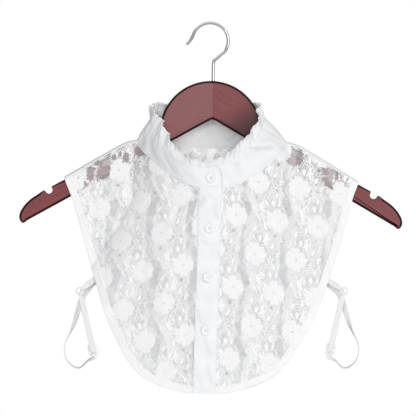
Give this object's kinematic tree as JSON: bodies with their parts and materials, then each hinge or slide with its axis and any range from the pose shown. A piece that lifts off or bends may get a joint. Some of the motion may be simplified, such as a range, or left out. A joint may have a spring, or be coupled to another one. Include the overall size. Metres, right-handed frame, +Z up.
{
  "type": "lace collar on a hanger",
  "caption": "Detachable buttoned lace collar with a frilled stand and elastic side straps, hung on a wooden hanger with a wire hook.",
  "frame": {"origin": "inner top of the hanger's hook, where it rests on a rail", "axes": "+Z up out of the rail's middle, +X along the hanger to the viewer's right, -Y is the buttoned front"},
  "size_m": [0.4436, 0.08, 0.4313],
  "materials": {
    "lace": "white flowered lace on a fine net, matte",
    "woven_cotton": "plain white woven cloth, matte",
    "edge_tape": "white woven binding, matte",
    "elastic": "white ribbed elastic, faint sheen",
    "button_resin": "glossy white resin",
    "coated_fitting": "white coated ring and slider",
    "wood": "mahogany stain under satin lacquer",
    "chrome": "polished wire"
  },
  "bodies": {
    "root": {"front_panel_right": "lace", "front_panel_left": "lace", "back_panel": "lace", "placket_over": "woven_cotton", "placket_under": "woven_cotton", "collar_stand": "woven_cotton", "frill": "woven_cotton", "binding_front_right": "edge_tape", "binding_front_left": "edge_tape", "binding_back": "edge_tape", "button_1": "button_resin", "button_2": "button_resin", "button_3": "button_resin", "button_4": "button_resin", "strap_left": "elastic", "strap_right": "elastic", "strap_tab_left": "elastic", "strap_tab_right": "elastic", "ring_left": "coated_fitting", "ring_right": "coated_fitting", "slider_left": "coated_fitting", "slider_right": "coated_fitting", "hanger_right": "wood", "hanger_left": "wood", "hook": "chrome"}
  },
  "joints": []
}
